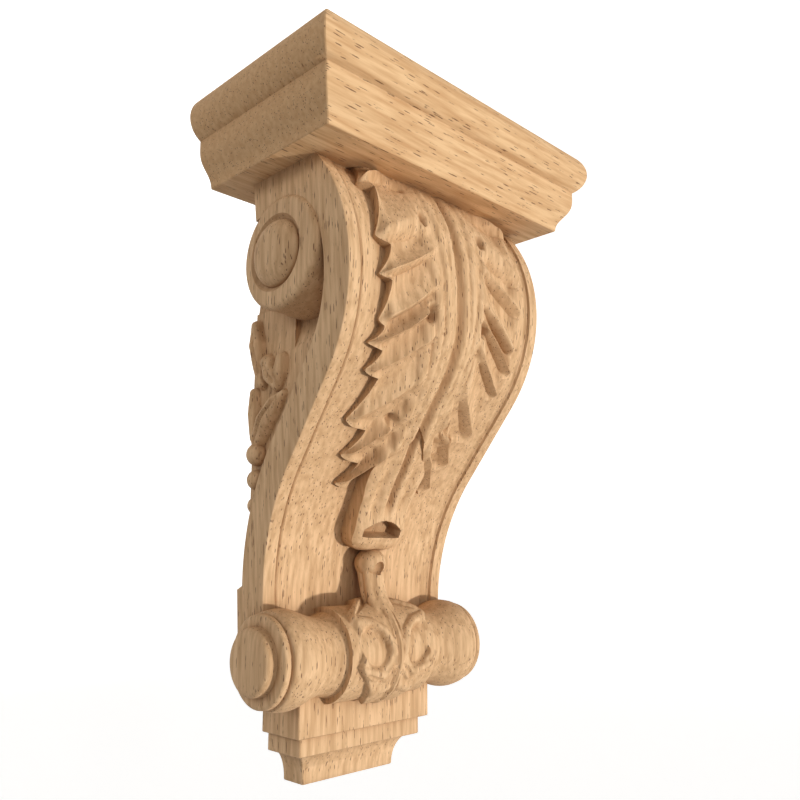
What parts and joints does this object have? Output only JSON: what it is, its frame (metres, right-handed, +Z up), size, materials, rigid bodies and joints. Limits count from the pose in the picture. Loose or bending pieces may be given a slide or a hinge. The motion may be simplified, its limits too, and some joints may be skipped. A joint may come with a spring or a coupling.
{
  "type": "corbel bracket",
  "caption": "Carved wooden corbel with a moulded cap, S-scroll body with side volutes, acanthus leaf, cross roll and stepped foot; holds up a shelf, mantel or beam end.",
  "frame": {"origin": "centre of the flat back, on the wall plane", "axes": "+X to the viewer's right, +Y into the wall, so the front is -Y, +Z up"},
  "size_m": [0.146, 0.0782, 0.25],
  "materials": {
    "cap_wood": "unfinished light hardwood, grain left to right, sanded, matte",
    "body_wood": "unfinished light hardwood, grain upright, carved and lightly sanded, matte"
  },
  "bodies": {
    "root": {"cap": "cap_wood", "carved_body": "body_wood"}
  },
  "joints": []
}
